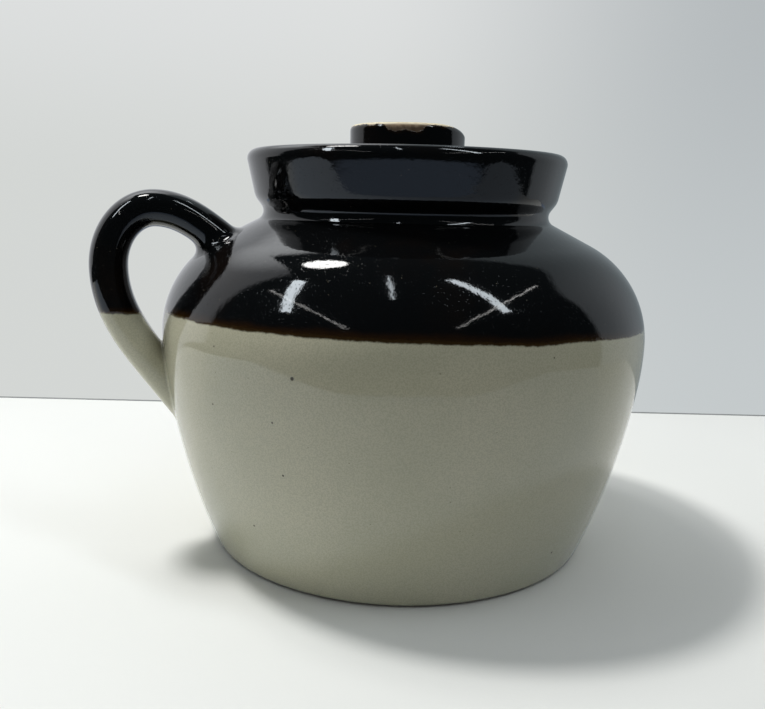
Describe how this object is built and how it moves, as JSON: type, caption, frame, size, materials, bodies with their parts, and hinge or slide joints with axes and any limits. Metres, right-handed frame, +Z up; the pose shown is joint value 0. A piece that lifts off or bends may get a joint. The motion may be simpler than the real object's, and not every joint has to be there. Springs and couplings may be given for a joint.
{
  "type": "stoneware bean pot",
  "caption": "Squat two-tone glazed stoneware bean pot with a flared collar, a side loop handle and a recessed lift-off lid with a disc knob.",
  "frame": {"origin": "centre of the flat foot, on the pot's axis", "axes": "+Z up along the pot's axis; the handle points along -X; the pot is symmetric about the XZ plane"},
  "size_m": [0.215, 0.19, 0.1632],
  "materials": {
    "pot_glaze": "glossy dark brown glaze on the shoulder and collar, semi-gloss grey-cream glaze on the lower belly",
    "handle_glaze": "glossy dark brown glaze above, grey-cream glaze at the lower end",
    "dark_glaze": "glossy near-black brown glaze",
    "knob_clay": "glossy dark brown glaze on the side, worn tan clay on the top"
  },
  "bodies": {
    "pot": {"pot_body": "pot_glaze", "handle": "handle_glaze"},
    "lid": {"lid": "dark_glaze", "lid_knob": "knob_clay"}
  },
  "joints": [
    {"name": "lid_lift", "type": "slide", "parent": "pot", "child": "lid", "axis": [0, 0, 1], "range_m": [0, 0.12]}
  ]
}
